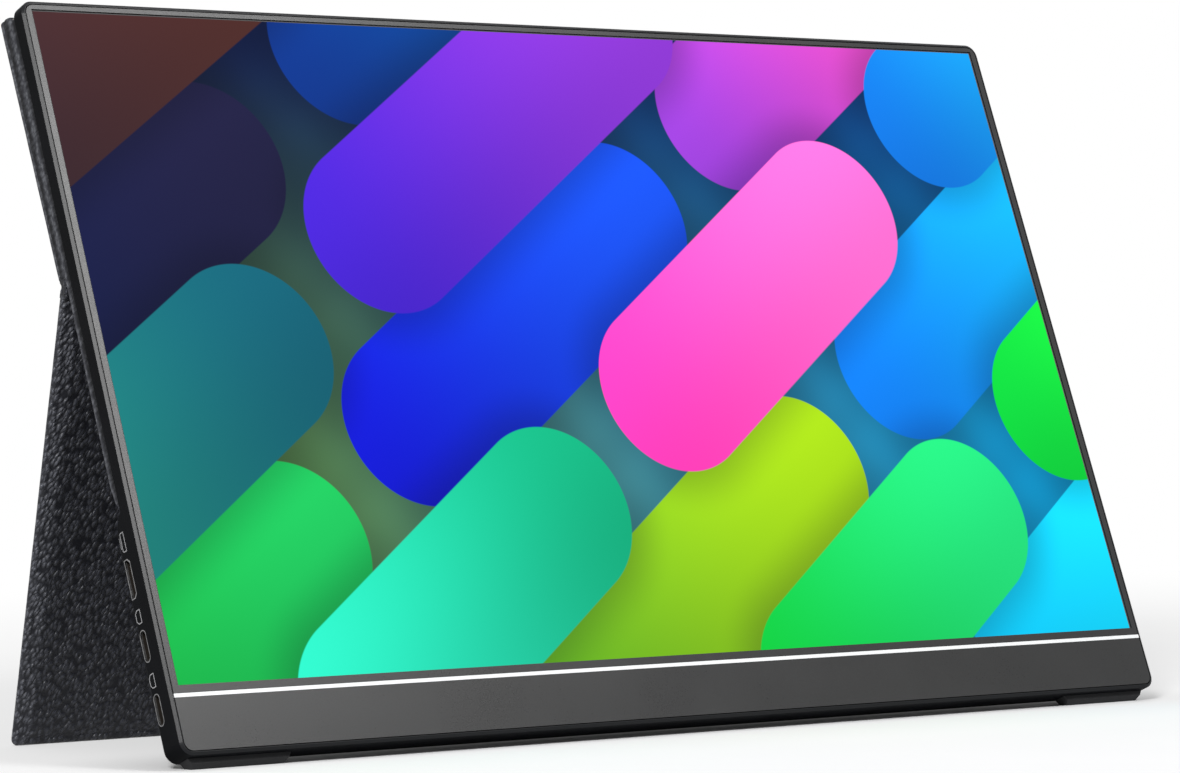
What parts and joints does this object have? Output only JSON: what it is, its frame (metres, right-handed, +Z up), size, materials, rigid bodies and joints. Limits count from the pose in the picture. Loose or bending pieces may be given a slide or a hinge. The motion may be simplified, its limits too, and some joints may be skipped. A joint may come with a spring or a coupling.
{
  "type": "portable monitor",
  "caption": "Flat portable monitor in a thin stepped case, standing on a leatherette flap that folds out of its back cover.",
  "frame": {"origin": "middle of the bounding box at floor level, with the monitor standing on its feet and its open flap", "axes": "+X to the right of a viewer who faces the screen, +Y from the screen towards the flap, +Z up"},
  "size_m": [0.3518, 0.0932, 0.2038],
  "materials": {
    "case_black": "fine satin black",
    "frame_grey": "satin dark grey",
    "accent_white": "bright satin white",
    "screen_glass": "lit screen behind smooth glass",
    "light_sheet": "milky translucent sheet",
    "sheet_metal": "plain sheet",
    "socket_metal": "plated",
    "foam": "open foam",
    "circuit_board": "solder resist",
    "flex_film": "amber film",
    "chip_black": "moulded black",
    "speaker_plastic": "moulded black",
    "lead_rubber": "wire coating",
    "foot_rubber": "dark grey rubber",
    "leatherette": "pebbled black leatherette",
    "cover_board": "pressed grey board",
    "magnet": "plated magnet",
    "key_plastic": "satin black"
  },
  "bodies": {
    "display": {"rear_housing": "case_black", "front_bezel": "frame_grey", "chin_panel": "frame_grey", "accent_strip": "accent_white", "lcd_cell": "screen_glass", "optical_films": "light_sheet", "light_guide": "light_sheet", "reflector_sheet": "light_sheet", "panel_pan": "sheet_metal", "board_shield": "sheet_metal", "keeper_plates": "sheet_metal", "video_socket": "socket_metal", "type_c_socket_low": "socket_metal", "type_c_socket_high": "socket_metal", "board_screws": "socket_metal", "panel_pads": "foam", "speaker_gaskets": "foam", "driver_board": "circuit_board", "main_board": "circuit_board", "key_board": "circuit_board", "led_bar": "circuit_board", "driver_films": "flex_film", "display_ribbon": "flex_film", "key_ribbon": "flex_film", "board_chips": "chip_black", "key_switches": "chip_black", "audio_jack": "chip_black", "speaker_left": "speaker_plastic", "speaker_right": "speaker_plastic", "speaker_leads": "lead_rubber", "foot_left": "foot_rubber", "foot_right": "foot_rubber", "backing_sheet": "leatherette", "upper_panel_skin": "leatherette", "fold_strip": "leatherette", "upper_panel_board": "cover_board"},
    "stand_flap": {"flap_skin": "leatherette", "flap_lining": "leatherette", "flap_board": "cover_board", "flap_magnets": "magnet"},
    "power_key_body": {"power_key": "key_plastic"},
    "dial_carrier_body": {"dial_carrier": "key_plastic"},
    "menu_dial_body": {"menu_dial": "key_plastic"}
  },
  "joints": [
    {"name": "stand_fold", "type": "hinge", "parent": "display", "child": "stand_flap", "pos_m": [0, 0.01413, 0.12585], "axis": [1, 0, 0], "range_deg": [-33.29, 55.3], "deforming": ["fold_strip"]},
    {"name": "power_press", "type": "slide", "parent": "display", "child": "power_key_body", "axis": [-1, 0, 0], "range_m": [0, 0.0003], "stiffness_N_per_m": 150},
    {"name": "dial_press", "type": "slide", "parent": "display", "child": "dial_carrier_body", "axis": [-1, 0, 0], "range_m": [0, 0.0003], "stiffness_N_per_m": 150},
    {"name": "dial_turn", "type": "hinge", "parent": "dial_carrier_body", "child": "menu_dial_body", "pos_m": [0.17093, -0.02836, 0.03153], "axis": [0, 0.9248, -0.3806], "range_deg": [-12, 12], "stiffness_Nm_per_rad": 0.02}
  ]
}
